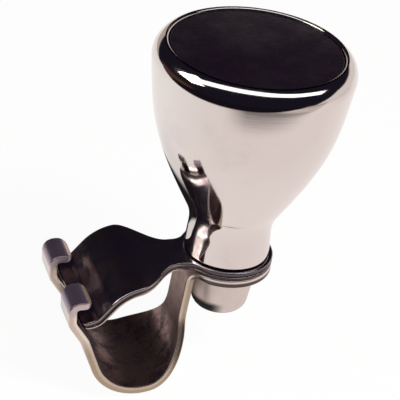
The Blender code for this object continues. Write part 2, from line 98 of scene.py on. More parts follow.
lens = bpy.data.cameras.new("camera")
lens.sensor_width = SENSOR
lens.lens = PIXELS_PER_MM * 1000 * SIGHT_DISTANCE * SENSOR / IMAGE_WIDTH
lens.shift_x = -(AIM_PIXEL[0] - IMAGE_WIDTH / 2) / IMAGE_WIDTH
lens.shift_y = (AIM_PIXEL[1] - IMAGE_WIDTH / 2) / IMAGE_WIDTH
lens.clip_start, lens.clip_end = 0.01, 20
camera = add_object("camera", lens)
aim = Vector((POST_X, 0, TONGUE_TOP + AIM_HEIGHT))
turned_to = Matrix((right, top, -ahead)).transposed().to_4x4()
camera.matrix_world = Matrix.Translation(aim - SIGHT_DISTANCE * ahead) @ turned_to
bpy.context.scene.camera = camera
print("lens %.1f mm, shift %.4f %.4f" % (lens.lens, lens.shift_x, lens.shift_y))

# %% [markdown]
# ## From arrays to a mesh
# Every new piece is worked out as whole arrays of points, with the direction that the
# surface faces at each point. Chrome shows the smallest error in that direction, so it is
# written into the mesh instead of being guessed from the faces.

# %% Helpers that write a mesh
def unit_rows(rows):
    """Each row drawn to length 1."""
    return rows / np.linalg.norm(rows, axis=1, keepdims=True)


def carried(rows, ways):
    """Carry rows of (outward, upward) along each flat way: an array of rows, ways and 3."""
    outward = rows[:, None, :1] * ways[None]
    upward = np.broadcast_to(rows[:, None, 1:], (*outward.shape[:2], 1))
    return np.concatenate([outward, upward], axis=2)


def write_piece(name, points, faces, facing, flow, marks=None):
    """Put arrays into a mesh. Points that no face uses are left out.

    points and facing have three columns, and faces are lists of indices. flow is the UV
    map, two distances for each point. marks holds named numbers, one for each point.
    """
    sizes = np.array([len(face) for face in faces])
    used, corners = np.unique(np.concatenate(faces), return_inverse=True)
    mesh = bpy.data.meshes.new(name)
    mesh.vertices.add(len(used))
    mesh.vertices.foreach_set("co", points[used].astype(np.float32).ravel())
    mesh.loops.add(len(corners))
    mesh.loops.foreach_set("vertex_index", corners.astype(np.int32))
    mesh.polygons.add(len(sizes))
    mesh.polygons.foreach_set("loop_start", (np.cumsum(sizes) - sizes).astype(np.int32))
    mesh.update(calc_edges=True)
    mesh.validate()
    mesh.shade_smooth()
    for label, values in (marks or {}).items():
        layer = mesh.attributes.new(label, "FLOAT", "POINT")
        layer.data.foreach_set("value", values[used].astype(np.float32))
    layer = mesh.uv_layers.new(name="flow")
    layer.data.foreach_set("uv", flow[used][corners].astype(np.float32).ravel())
    mesh.normals_split_custom_set_from_vertices(facing[used].tolist())
    return add_object(name, mesh)


def dress(piece, body, slot, finish, *nodes):
    """Give a piece its finish, the body that it moves with and the solids that it stands for."""
    piece.data.materials.clear()
    piece.data.materials.append(finish)
    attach(piece, body)
    if nodes:
        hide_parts(*nodes)
    triangles = sum(len(face.vertices) - 2 for face in piece.data.polygons)
    print(piece.name, triangles, "triangles")
    return piece


# %% [markdown]
# ## A folded line
# Each leaf of the clamp is a strip that is stamped flat and then folded. Seen along the
# rim, one of its faces follows a chain of straight runs and round bends. The same chain
# made the solids, so the numbers here are theirs. Distances along it count from the post.

# %% The folded line of a sheet
TONGUE_RADIUS = 0.0114
PLATE_THICK = 0.0011
LINER_THICK = 0.0007
STRAP_THICK = 0.0020
LEAF_GAP = 0.0002
FLOW_PER_METRE = 20


def folded_line(x, z, distance, moves):
    """Table of where each move starts: distance, x, z, heading and bend (1/radius)."""
    heading = pi
    rows = []
    for length, bend in moves:
        rows.append((distance, x, z, heading, bend))
        distance += length
        if bend:
            onward = heading + bend * length
            x += (sin(onward) - sin(heading)) / bend
            z -= (cos(onward) - cos(heading)) / bend
            heading = onward
        else:
            x += length * cos(heading)
            z += length * sin(heading)
    return np.array(rows), distance


def on_line(line, distance):
    """Place and heading at each distance.

    On a straight run the place is start + distance * (cos h, sin h). On a bend k the
    heading grows as h + k * distance, and the place is start + (sin, -cos) / k of the
    change in heading.
    """
    row = line[np.clip(np.searchsorted(line[:, 0], distance + 1e-9) - 1, 0, len(line) - 1)]
    gone = distance - row[:, 0]
    start, bend = row[:, 3], row[:, 4]
    heading = start + bend * gone
    safe = np.where(bend == 0, 1.0, bend)
    x = np.where(bend == 0, gone * np.cos(start), (np.sin(heading) - np.sin(start)) / safe)
    z = np.where(bend == 0, gone * np.sin(start), -(np.cos(heading) - np.cos(start)) / safe)
    return row[:, 1] + x, row[:, 2] + z, heading


def bend_move(radius, degrees):
    """A bend as a pair: the length of the arc, and its curvature with a sign for the side."""
    return radius * radians(abs(degrees)), (1 if degrees > 0 else -1) / radius


# %% [markdown]
# ## The flat blank of a leaf
# The press stamps each leaf flat: a round-ended tongue, a waist, a flare to full width and
# rounded corners at the far end. The blank is a grid of rows. Every row is as wide as the
# outline is there, and the columns beside a hole or slot follow its edge, so the grid
# closes round every opening without any cutting. The grid stops one edge radius inside the
# outline, because the burnished edge is added round it afterwards.

# %% The outline of a leaf
EDGE_ROUND = 0.00035
TONGUE_FILLET = 0.0040
CLAMP_HALF_WIDTH = 0.0136
ROW_STEP = 0.0003
CLOSEST_ROWS = 0.00007
SIDE_COLUMNS, MIDDLE_COLUMNS = 10, 9


def edge_radius(thickness):
    """The radius of a leaf's rounded edge, smaller where the sheet is thin."""
    return min(EDGE_ROUND, 0.45 * thickness)


def leaf_half_width(s, leaf, inset):
    """Half the width of a leaf at distance s, drawn in by inset on every side.

    The tongue is a circle about the post, sqrt(R^2 - s^2). A concave arc leads from it to
    the waist. The flare is a half wave of cosine from the waist to the full width, and the
    far corners are quarter circles.
    """
    radius, fillet, waist = TONGUE_RADIUS - inset, TONGUE_FILLET + inset, leaf["waist"] - inset
    centre = sqrt((radius + fillet) ** 2 - (waist + fillet) ** 2)
    tangent = centre * radius / (radius + fillet)
    disc = np.sqrt(np.maximum(radius ** 2 - s ** 2, 0))
    neck = waist + fillet - np.sqrt(np.maximum(fillet ** 2 - (centre - s) ** 2, 0))
    width = np.where(s < tangent, disc, np.where(s < centre, neck, waist))
    part = np.clip((s - leaf["flare from"]) / leaf["flare length"], 0, 1)
    rise = CLAMP_HALF_WIDTH - leaf["waist"]
    slope = rise * pi / 2 * np.sin(pi * part) / leaf["flare length"]
    width = width + rise * (1 - np.cos(pi * part)) / 2 - inset * (np.sqrt(1 + slope ** 2) - 1)
    corner = leaf["corner"]
    into = np.maximum(s - (leaf["end"] - corner), 0)
    kept = np.sqrt(np.maximum((corner - inset) ** 2 - into ** 2, 0))
    return width - (corner - inset) + kept


def leaf_rows(leaf, inset):
    """Distances of the blank's rows: even ones, with finer ones on each corner."""
    radius, end, corner = TONGUE_RADIUS - inset, leaf["end"], leaf["corner"]
    tip = -radius * np.cos(np.linspace(radians(3), radians(120), 60))
    body = np.linspace(0.5 * radius, end - corner, int((end - corner) / ROW_STEP))
    last = end - corner + (corner - inset) * np.sin(np.linspace(0, pi / 2, 14))
    firm = [opening["rows"] for opening in leaf["openings"]]
    rows = np.unique(np.concatenate([tip, body, last] + firm))
    apart = np.abs(rows[:, None] - np.concatenate(firm + [last[-1:]])[None, :]).min(axis=1)
    return rows[(apart == 0) | (apart > CLOSEST_ROWS)]


def blank_grid(leaf, inset):
    """The blank's flat points, as distance and width, and its faces outside the openings.

    leaf["openings"] hold the first and last distance of each opening.
    """
    s = leaf_rows(leaf, inset)
    outer = leaf_half_width(s, leaf, inset)
    inner = np.minimum(leaf["inner"](s, inset), 0.6 * outer)
    sides, middle = np.linspace(0, 1, SIDE_COLUMNS), np.linspace(-1, 1, MIDDLE_COLUMNS)
    span = inner[:, None] + (outer - inner)[:, None] * sides[None, :]
    y = np.concatenate([-span[:, ::-1], inner[:, None] * middle[None, 1:-1], span], axis=1)
    flat = np.stack([np.broadcast_to(s[:, None], y.shape), y], axis=2).reshape(-1, 2)
    inside = np.ones((len(s) - 1, y.shape[1] - 1), bool)
    for opening in leaf["openings"]:
        open_rows = (s[:-1] >= opening["first"] - 1e-9) & (s[1:] <= opening["last"] + 1e-9)
        inside[open_rows, SIDE_COLUMNS - 1:SIDE_COLUMNS + MIDDLE_COLUMNS - 2] = False
    row, column = np.nonzero(inside)
    first = row * y.shape[1] + column
    return flat, np.stack([first, first + y.shape[1], first + y.shape[1] + 1, first + 1], axis=1)


# %% [markdown]
# ## Round the edges, then fold
# After stamping, the blanks are tumbled, which rounds their edges. Each point on the
# grid's border gets a direction out of the sheet, and a quarter circle of points is laid
# out along it above and below. Only then is the blank folded: a point at distance s,
# width y and depth d goes to the line's place at s, moved d across the sheet. The facing
# directions are turned in the same way.

# %% Border, edge and fold
def border_of(faces):
    """Directed edges that belong to one face only, as (from, to) pairs."""
    sides = np.concatenate([np.roll(faces, -k, axis=1)[:, :2] for k in range(4)])
    key = np.sort(sides, axis=1)
    _, index, count = np.unique(key, axis=0, return_index=True, return_counts=True)
    return sides[index[count == 1]]


def outward_at_border(flat, border, total):
    """For each border point, the vector that moves both its edges out by one unit.

    With edge directions a and b, the normals na and nb point out of the sheet, and the
    vector is (na + nb) / (1 + na . nb).
    """
    run = unit_rows(flat[border[:, 1]] - flat[border[:, 0]])
    side = np.stack([run[:, 1], -run[:, 0]], axis=1)
    leaving, entering = np.zeros((total, 2)), np.zeros((total, 2))
    leaving[border[:, 0]] = side
    entering[border[:, 1]] = side
    both = leaving + entering
    share = 1 + (leaving * entering).sum(axis=1)
    return both / np.maximum(share, 0.2)[:, None]


def fold_leaf(name, leaf, line, thickness):
    """A leaf with rounded edges: the grid on both faces, a border of arcs, all folded.

    leaf["nose"] rolls the tips down: with q from 0 to 1 over the nose, the outer face
    sinks by drop * (1 - sqrt(1 - q^2)).
    """
    inset = edge_radius(thickness)
    flat, sheet = blank_grid(leaf, inset)
    border = border_of(sheet)
    on_edge = np.unique(border)
    count, edge_count = len(flat), len(on_edge)
    order = np.full(count, -1)
    order[on_edge] = np.arange(edge_count)
    out = outward_at_border(flat, border, count)[on_edge]
    unit = unit_rows(out)

    turn = np.linspace(0, pi / 2, 6)
    curve = inset * (1 - np.cos(turn))
    depth = np.concatenate([curve, thickness - curve[::-1]])
    lift = np.concatenate([-np.cos(turn), np.cos(turn[::-1])])
    push = np.concatenate([np.sin(turn), np.sin(turn[::-1])])
    rim_flat = flat[on_edge][None] + inset * push[:, None, None] * out[None]
    rim_facing = carried(np.stack([push, lift], axis=1), unit)

    nose, drop = leaf.get("nose", (0.001, 0.0))
    rolled = np.clip((flat[:, 0] - leaf["end"] + nose) / nose, 0, 0.97)
    sunk = drop * (1 - np.sqrt(1 - rolled ** 2))
    tilt = np.arctan(drop / nose * rolled / np.sqrt(1 - rolled ** 2))
    rim_depth = depth[:, None] * (1 - sunk[on_edge] / thickness)[None]

    places = np.concatenate([flat, flat, rim_flat.reshape(-1, 2)])
    depths = np.concatenate([np.zeros(count), thickness - sunk, rim_depth.ravel()])
    over = np.stack([np.sin(tilt), 0 * tilt, np.cos(tilt)], axis=1)
    under = np.broadcast_to((0, 0, -1), (count, 3))
    facing = np.concatenate([under, over, rim_facing.reshape(-1, 3)])
    marks = {"edge": np.concatenate([np.zeros(2 * count), np.repeat(push, edge_count)]),
             "along": places[:, 0], "depth": depths / thickness}

    between = [2 * count + k * edge_count + order for k in range(1, len(depth) - 1)]
    levels = [np.arange(count), *between, count + np.arange(count)]
    start, stop = border.T
    strips = [np.stack([far[stop], far[start], near[start], near[stop]], axis=1)
              for near, far in zip(levels[:-1], levels[1:])]
    faces = np.concatenate([sheet[:, ::-1], sheet + count] + strips)

    x, z, heading = on_line(line, places[:, 0])
    along = np.stack([np.cos(heading), 0 * heading, np.sin(heading)], axis=1)
    across = np.stack([-np.sin(heading), 0 * heading, np.cos(heading)], axis=1)
    points = np.stack([x, places[:, 1], z], axis=1) + depths[:, None] * across
    turned = facing[:, :1] * along + facing[:, 2:] * across
    turned[:, 1] = facing[:, 1]
    return write_piece(name, points, faces, turned, places * FLOW_PER_METRE, marks)


# %% [markdown]
# ## The three leaves
# The upper leaf is the saddle plate, which arches over the rim and ends in a lip under the
# hooks. The liner follows it a leaf's thickness lower. The strap goes the other way: down
# the post side, round under the rim and up the front, where a slot splits it into two legs
# that are folded over as hooks. All three have a square hole, so that the post can't turn.

# %% Openings in the leaves
HOLE_HALF = 0.0043
SLOT_HALF_WIDTH = 0.0055
SLOT_CORNER = 0.0025
SLOT_ROOT = 0.06329
HOOK_INNER_CORNER = 0.0018
COLUMNS_MOVE_FROM = 0.010
COLUMNS_MOVE_OVER = 0.030


def hole_half_width(s, inset):
    """Constant: the square hole's half side, moved out by the edge's radius."""
    return np.full_like(s, HOLE_HALF + inset)


def strap_inner(s, inset):
    """The hole's half side near the post, then the slot with its two rounded corners."""
    corner, hook_corner = SLOT_CORNER + inset, HOOK_INNER_CORNER - inset
    floor = SLOT_HALF_WIDTH - SLOT_CORNER
    short = np.clip(SLOT_ROOT + SLOT_CORNER - s, 0, corner)
    slot = floor + np.sqrt(np.maximum(corner ** 2 - short ** 2, 0))
    past = np.clip(s - (STRAP["end"] - HOOK_INNER_CORNER), 0, hook_corner)
    slot = slot + hook_corner - np.sqrt(hook_corner ** 2 - past ** 2)
    hole = HOLE_HALF + inset
    share = np.clip((s - COLUMNS_MOVE_FROM) / COLUMNS_MOVE_OVER, 0, 1)
    return np.where(s < SLOT_ROOT - inset - 1e-9, hole + (floor - hole) * share, slot)


def hole_opening(thickness):
    """The square hole as an opening of the blank."""
    half = HOLE_HALF + edge_radius(thickness)
    return {"first": -half, "last": half, "rows": np.array([-half, half])}


# %% Lines of the three leaves
WALL_LEAN, FRONT_LEAN, LEG_LEAN, LEG_TOP_LEAN = 4, 21, 33, 3
CHANNEL_RADIUS = 0.0110
WALL_BEND, FRONT_BEND, LEG_BEND, HOOK_BEND = 0.0040, 0.0060, 0.0015, 0.0006
WAIST_RUN, WALL_DROP, FRONT_RISE = 0.0070, 0.0129780, 0.0084
LEG_RISE, LEG_TOP_RISE, HOOK_REACH = 0.0051, 0.0026389, 0.0030
ARCH_BEND, ARCH_TURN, ARCH_RUN = 0.0119, 51, 0.0038
LIP_BEND, LIP_TURN, PLATE_LIP, LINER_LIP = 0.0025, -37, 0.00285, 0.00255
TIP_X = POST_X + TONGUE_RADIUS
strap_top = TONGUE_TOP - PLATE_THICK - LINER_THICK - 2 * LEAF_GAP
strap_moves = [(TONGUE_RADIUS + WAIST_RUN, 0), bend_move(WALL_BEND, 90 - WALL_LEAN),
               (WALL_DROP, 0), bend_move(CHANNEL_RADIUS, -(180 - WALL_LEAN - FRONT_LEAN)),
               (FRONT_RISE, 0), bend_move(FRONT_BEND, LEG_LEAN - FRONT_LEAN),
               (LEG_RISE, 0), bend_move(LEG_BEND, LEG_TOP_LEAN - LEG_LEAN),
               (LEG_TOP_RISE, 0), bend_move(HOOK_BEND, -(90 + LEG_TOP_LEAN)), (HOOK_REACH, 0)]
strap_line, strap_end = folded_line(TIP_X, strap_top, -TONGUE_RADIUS, strap_moves)


def saddle_line(depth, lip):
    """Upper face of a saddle leaf that lies this deep below the plate's top."""
    moves = [(TONGUE_RADIUS + POST_X, 0), bend_move(ARCH_BEND - depth, ARCH_TURN),
             (ARCH_RUN, 0), bend_move(LIP_BEND + depth, LIP_TURN), (lip, 0)]
    return folded_line(TIP_X, TONGUE_TOP - depth, -TONGUE_RADIUS, moves)


plate_line, plate_end = saddle_line(0.0, PLATE_LIP)
liner_line, liner_end = saddle_line(PLATE_THICK + LEAF_GAP, LINER_LIP)
print("strap, plate and liner end at", strap_end, plate_end, liner_end)

# %% Blanks of the three leaves
SADDLE = {"waist": 0.0054, "flare from": 0.0136, "flare length": 0.0116, "corner": 0.0018,
          "inner": hole_half_width}
PLATE = dict(SADDLE, end=plate_end, openings=[hole_opening(PLATE_THICK)])
LINER = dict(SADDLE, end=liner_end, openings=[hole_opening(LINER_THICK)])
slot_turn = np.linspace(0, pi / 2, 16)
slot_rows = SLOT_ROOT + SLOT_CORNER - (SLOT_CORNER + EDGE_ROUND) * np.cos(slot_turn)
slot = {"first": SLOT_ROOT - EDGE_ROUND, "last": strap_end, "rows": slot_rows}
STRAP = {"waist": 0.0048, "flare from": 0.0220, "flare length": 0.0180, "corner": 0.0020,
         "inner": strap_inner, "end": strap_end, "openings": [hole_opening(STRAP_THICK), slot],
         "nose": (0.0024, 0.0015)}

saddle_plate = fold_leaf("plate_sheet", PLATE, plate_line, PLATE_THICK)
saddle_liner = fold_leaf("liner_sheet", LINER, liner_line, LINER_THICK)
rim_strap = fold_leaf("strap_sheet", STRAP, strap_line, STRAP_THICK)
for piece in (saddle_plate, saddle_liner, rim_strap):
    print(piece.name, [round(v * 1000, 3) for v in piece.dimensions])

# %% [markdown]
# ## Turned pieces
# The knob, its black top, the washers and the nut are round. Each is a profile carried
# round the post's axis. A real lathe leaves no knife edge, so every corner of a profile is
# rounded by a small arc.

# %% A rounded profile, and its turning
def rounded(corners, arc_steps=7):
    """A profile of (radius, height, corner radius) rows with each corner rounded.

    The arc touches both sides at corner radius * tan(half the turn) from the corner. Rows
    with no corner radius are kept as they are, and their direction is the mean of the two
    sides. Returns the points and the direction of travel at each.
    """
    corners = np.asarray(corners, float)
    sides = unit_rows(np.diff(corners[:, :2], axis=0))
    points, travel = [], []
    for k, (*here, radius) in enumerate(corners):
        into, away = sides[max(k - 1, 0)], sides[min(k, len(sides) - 1)]
        if not radius or k in (0, len(sides)):
            points.append(np.array(here))
            travel.append((into + away) / np.linalg.norm(into + away))
            continue
        turn = atan2(into[0] * away[1] - into[1] * away[0], into @ away)
        side = np.array([-into[1], into[0]]) * (1 if turn > 0 else -1)
        centre = here - into * radius * tan(abs(turn) / 2) + radius * side
        for angle in np.linspace(0, turn, arc_steps):
            spin = np.array([[cos(angle), -sin(angle)], [sin(angle), cos(angle)]])
            points.append(centre - spin @ (radius * side))
            travel.append(spin @ into)
    return np.array(points), np.array(travel)


def turned_piece(name, corners, around=192, ring=True):
    """A profile carried round the post: x = r cos a, y = r sin a, at every height z.

    The profile runs with the material on its left. It faces along its travel turned a
    quarter to the right. A ring's profile is closed, and any other starts and ends on
    the axis, where its rows shrink to one point.
    """
    if ring:
        points, travel = (part[1:-1] for part in rounded([corners[-1], *corners, corners[0]]))
    else:
        points, travel = rounded(corners)
    angle = np.arange(around) * 2 * pi / around
    unit = np.stack([np.cos(angle), np.sin(angle)], axis=1)
    out = np.stack([travel[:, 1], -travel[:, 0]], axis=1)
    place, facing = carried(points, unit), carried(out, unit)
    index = np.arange(len(points) * around).reshape(len(points), around)
    if ring:
        index = np.concatenate([index, index[:1]])
    else:
        index[0], index[-1] = index[0, 0], index[-1, 0]
        facing[0], facing[-1] = (0, 0, out[0, 1]), (0, 0, out[-1, 1])
    near, far = index[:-1], index[1:]
    quads = np.stack([near, np.roll(near, -1, axis=1), np.roll(far, -1, axis=1), far], axis=2)
    if ring:
        faces = list(quads.reshape(-1, 4))
    else:
        faces = list(quads[1:-1].reshape(-1, 4))
        faces += list(quads[0][:, [0, 2, 3]]) + list(quads[-1][:, [0, 1, 2]])
    steps = np.linalg.norm(np.diff(points, axis=0), axis=1)
    length = np.concatenate([[0], np.cumsum(steps)]) * FLOW_PER_METRE
    flow = np.stack(np.broadcast_arrays(angle[None] / (2 * pi), length[:, None]), axis=2)
    place = place.reshape(-1, 3) + np.array([POST_X, 0, TONGUE_TOP])
    return write_piece(name, place, faces, facing.reshape(-1, 3), flow.reshape(-1, 2))


# %% [markdown]
# ## The goblet
# The knob is one drawn and turned shell: a neck, a flare, a tall wall that is almost
# straight at the top, a fully rounded shoulder and a mouth with a ledge for the black
# disc. The wall between flare and shoulder is a cubic curve that was fitted to the
# photograph's outline.

# %% Profile of the goblet
NECK_BASE = 0.0004
NECK_BASE_RADIUS = 0.0104
NECK_TOP = (0.00975, 0.00980)
CREASE_ROUND = 0.0115
FLARE = radians(29)
FLARE_START = (0.011447, 0.012861)
FLARE_PULL = 0.0204
WALL_TOP_RADIUS = 0.0234
WALL_TOP_LEAN = radians(6.5)
WALL_PULL = 0.0150
SHOULDER_Z = 0.0494
SHOULDER_ROUND = 0.0046
SHOULDER_END = radians(68.5)
SHELL_WALL = 0.0012
MOUTH_RADIUS = 0.0200
LEDGE_WIDTH = 0.0024
DISC_EDGE_Z = 0.0536790
LEDGE_TOP = DISC_EDGE_Z - 0.0015
LEDGE_UNDER = LEDGE_TOP - 0.0012


def cubic(a, b, c, d, steps):
    """A cubic curve: (1-t)^3 a + 3(1-t)^2 t b + 3(1-t) t^2 c + t^3 d."""
    t = np.linspace(0, 1, steps)[:, None]
    a, b, c, d = (np.array(p)[None] for p in (a, b, c, d))
    return (1 - t) ** 3 * a + 3 * (1 - t) ** 2 * t * b + 3 * (1 - t) * t ** 2 * c + t ** 3 * d


low, high = np.array(FLARE_START), np.array([WALL_TOP_RADIUS, SHOULDER_Z])
wall = cubic(low, low + FLARE_PULL * np.array([sin(FLARE), cos(FLARE)]),
             high - WALL_PULL * np.array([sin(WALL_TOP_LEAN), cos(WALL_TOP_LEAN)]), high, 60)[1:]
angle = np.linspace(-WALL_TOP_LEAN, SHOULDER_END, 28)[:, None]
shoulder = SHOULDER_ROUND * np.hstack([np.cos(angle), np.sin(angle)])
shoulder = (high + shoulder - shoulder[0])[1:]
mouth_z = shoulder[-1, 1] + (shoulder[-1, 0] - MOUTH_RADIUS) / tan(SHOULDER_END)
outside = np.concatenate([low[None], wall, shoulder])
slope = unit_rows(np.gradient(outside, axis=0))
inside = outside + SHELL_WALL * np.stack([-slope[:, 1], slope[:, 0]], axis=1)
inside = inside[inside[:, 1] < LEDGE_UNDER - SHELL_WALL][::-3]
bore, ledge_radius = NECK_TOP[0] - SHELL_WALL, MOUTH_RADIUS - LEDGE_WIDTH
goblet = np.concatenate([
    [[bore, NECK_BASE, 0.0002], [NECK_BASE_RADIUS, NECK_BASE, 0.0002], [*NECK_TOP, CREASE_ROUND]],
    np.pad(outside, ((0, 0), (0, 1))),
    [[MOUTH_RADIUS, mouth_z, 0.0006], [MOUTH_RADIUS, LEDGE_TOP, 0.0002],
     [ledge_radius, LEDGE_TOP, 0.0003], [ledge_radius, LEDGE_UNDER, 0.0003],
     [inside[0, 0] - 0.0010, LEDGE_UNDER, 0.0003]],
    np.pad(inside, ((0, 0), (0, 1))), [[bore, NECK_TOP[1] + 0.0007, 0.0015]]])
knob = turned_piece("goblet", goblet)
print("goblet widest radius", outside[:, 0].max(), "top", TONGUE_TOP + goblet[:, 1].max())

# %% [markdown]
# ## Disc, washers and nut
# The black disc lies in the mouth, slightly crowned, its edge just below the mouth's. The
# nut is a plain tapered sleeve with a rounded end. Its face has a slot for a screwdriver,
# which is cut out of the turned piece.

# %% The black disc
DISC_RADIUS = 0.0198
DISC_THICK = 0.0013
DISC_CROWN = 0.0004
DISC_EDGE = 0.0004
radii = np.linspace(1, 0, 30) * (DISC_RADIUS - DISC_EDGE)
crown = DISC_EDGE_Z + DISC_CROWN * (1 - (radii / DISC_RADIUS) ** 2)
disc_under = DISC_EDGE_Z - DISC_THICK
disc_rows = [[0, disc_under, 0], [DISC_RADIUS, disc_under, 0.0002],
             [DISC_RADIUS, DISC_EDGE_Z, 0.0003]]
disc_rows = np.concatenate([disc_rows, np.stack([radii, crown, 0 * radii], axis=1)])
disc = turned_piece("black_disc", disc_rows, ring=False)

# %% Washers
HOLE_CORNER = 0.0058569
STACK_LOW = -(PLATE_THICK + LINER_THICK + STRAP_THICK + 2 * LEAF_GAP)
NUT_BORE = 0.0042


def flat_ring(name, bore_radius, rim_radius, under, over, edge=0.00012):
    """A washer: a rectangle between two radii and two heights, its corners rounded."""
    return turned_piece(name, [
        (bore_radius, under, edge), (rim_radius, under, edge),
        (rim_radius, over, edge), (bore_radius, over, edge)], 128)


neck_washer = flat_ring("neck_washer", HOLE_CORNER, HOLE_CORNER + 0.0039, 0.00008, 0.00034, 0.00008)
spring_high = STACK_LOW - LEAF_GAP
spring_low = spring_high - 0.0007
split_washer = flat_ring("split_washer", NUT_BORE, NUT_BORE + 0.0027, spring_low, spring_high)

# %% The nut
NUT_LENGTH = 0.0105
NUT_TOP_RADIUS, NUT_END_RADIUS = 0.0080, 0.0067
NUT_FLOOR = 0.0032
DRIVER_SLOT_HALF, DRIVER_SLOT_DEPTH = 0.0009, 0.0015
SLIT_HALF = 0.0005
nut_high = spring_low - LEAF_GAP
nut_low = nut_high - NUT_LENGTH
nut = turned_piece("slotted_nut", [
    (0, nut_low, 0), (NUT_END_RADIUS, nut_low, 0.0024), (NUT_TOP_RADIUS, nut_high, 0.0004),
    (NUT_BORE, nut_high, 0.0003), (NUT_BORE, nut_low + NUT_FLOOR, 0.0002),
    (0, nut_low + NUT_FLOOR, 0)], 160, ring=False)


def cut_box(piece, low, high):
    """Cut a box out of a piece. The cutter is deleted, and only the cut mesh is kept."""
    tool = bpy.data.meshes.new("cutter")
    grid = np.array(np.meshgrid(*zip(low, high), indexing="ij")).reshape(3, -1).T
    quads = [(0, 1, 3, 2), (4, 6, 7, 5), (0, 4, 5, 1), (2, 3, 7, 6), (0, 2, 6, 4), (1, 5, 7, 3)]
    tool.from_pydata(grid.tolist(), [], quads)
    cutter = add_object("cutter", tool)
    step = piece.modifiers.new("cut", "BOOLEAN")
    step.operation, step.solver, step.object = "DIFFERENCE", "EXACT", cutter
    solved = piece.evaluated_get(bpy.context.evaluated_depsgraph_get())
    made = bpy.data.meshes.new_from_object(solved)
    piece.modifiers.clear()
    old = piece.data
    piece.data = made
    bpy.data.meshes.remove(old)
    made.name = piece.name
    bpy.data.objects.remove(cutter, do_unlink=True)


cut_box(nut, (POST_X - 0.02, -DRIVER_SLOT_HALF, TONGUE_TOP + nut_low - 0.01),
        (POST_X + 0.02, DRIVER_SLOT_HALF, TONGUE_TOP + nut_low + DRIVER_SLOT_DEPTH))
cut_box(split_washer, (POST_X, -SLIT_HALF, TONGUE_TOP + spring_low - 0.01),
        (POST_X + 0.02, SLIT_HALF, TONGUE_TOP + spring_high + 0.01))
print("nut from", TONGUE_TOP + nut_low, "to", TONGUE_TOP + nut_high)

# %% [markdown]
# ## Shared effects
# Some effects appear more than once, so each is a node group that is built once: patches of
# haze where the plating has dulled, fine marks left by polishing, the tan of a worn edge,
# the tarnish of handled metal and, further down, a soft spot on the table. A group only
# works out tones, masks and heights. The shader itself stays in each material.

# %% Helpers that build nodes
NUMBER, VECTOR, COLOUR = 0.0, (0.0, 0.0, 0.0), (0.0, 0.0, 0.0, 1.0)


def new_group(name, inputs, outputs):
    """A shader group whose named sockets start as numbers, as vectors or as colours."""
    made = bpy.data.node_groups.new(name, "ShaderNodeTree")
    for side, rows in (("INPUT", inputs), ("OUTPUT", outputs)):
        for label, value in rows.items():
            kind = {1: "Float", 3: "Vector", 4: "Color"}[np.size(value)]
            socket = made.interface.new_socket(
                label, in_out=side, socket_type="NodeSocket" + kind)
            socket.default_value = value
    print("group", name)
    return made, made.nodes.new("NodeGroupInput").outputs, made.nodes.new("NodeGroupOutput").inputs


def plug(tree, source, socket):
    """Link one socket into another, or set a plain number, vector or opaque colour on it."""
    if hasattr(source, "links"):
        tree.links.new(source, socket)
    else:
        socket.default_value = (*source, 1) if socket.type == "RGBA" else source


def add_node(tree, kind, inputs=None, **settings):
    """A node with its settings and its inputs, each of them a plain value or a socket."""
    node = tree.nodes.new("ShaderNode" + kind)
    for label, value in settings.items():
        setattr(node, label, value)
    for label, source in (inputs or {}).items():
        plug(tree, source, node.inputs[label])
    return node


def use_group(tree, group, position, **inputs):
    """A shared group in a tree, at a position. An underscore stands for a space in a name."""
    inputs = {label.replace("_", " "): value for label, value in inputs.items()}
    return add_node(tree, "Group", {"Position": position, **inputs}, node_tree=group).outputs


def blend_colours(tree, share, first, second):
    """The first colour at share 0 and the second at share 1."""
    return add_node(tree, "Mix", {0: share, 6: first, 7: second}, data_type="RGBA").outputs[2]


def mix_values(tree, share, first, second):
    """The first number at share 0 and the second at share 1."""
    return add_node(tree, "Mix", {0: share, 2: first, 3: second}, data_type="FLOAT").outputs[0]


def maths(tree, operation, *terms, kind="Math", output=0):
    """One step of arithmetic, on numbers or, with kind VectorMath, on vectors."""
    return add_node(tree, kind, dict(enumerate(terms)), operation=operation).outputs[output]


def spread(tree, value, start, stop, shape="SMOOTHSTEP"):
    """0 where the value is at start or before, 1 at stop and beyond, and a ramp between."""
    ends = {"Value": value, "From Min": start, "From Max": stop}
    return add_node(tree, "MapRange", ends, interpolation_type=shape).outputs["Result"]


def along_way(tree, place, way):
    """How far a place or direction goes along a given way: their dot product."""
    return maths(tree, "DOT_PRODUCT", place, way, kind="VectorMath", output="Value")


def noise(tree, position, scale, detail, roughness=0.5, distortion=0.0):
    """Cloudy noise about 0.5, with this many clouds to a metre."""
    return add_node(tree, "TexNoise", {
        "Vector": position, "Scale": scale, "Detail": detail, "Roughness": roughness,
        "Distortion": distortion}).outputs["Fac"]


# %% Patches of haze
PATCH_LEVEL = 0.75
PATCH_FADE = 0.3
haze, given, result = new_group("haze_patches", {
    "Position": VECTOR, "Patches per metre": 120.0, "Clear": 0.08, "Dull": 0.3, "Spread": 0.5},
    {"Roughness": NUMBER, "Patch": NUMBER})
clouds = noise(haze, given["Position"], given["Patches per metre"], 5.0, 0.6)
faint = maths(haze, "SUBTRACT", PATCH_LEVEL, given["Spread"])
patch = spread(haze, clouds, faint, maths(haze, "ADD", faint, PATCH_FADE))
plug(haze, mix_values(haze, patch, given["Clear"], given["Dull"]), result["Roughness"])
plug(haze, patch, result["Patch"])

# %% Polishing marks
marks, given, result = new_group("polishing_marks", {
    "Position": VECTOR, "Stretch": (1.0, 1.0, 1.0), "Marks": 900.0}, {"Height": NUMBER})
stretched = maths(marks, "MULTIPLY", given["Position"], given["Stretch"], kind="VectorMath")
plug(marks, noise(marks, stretched, given["Marks"], 3.0, 0.55), result["Height"])

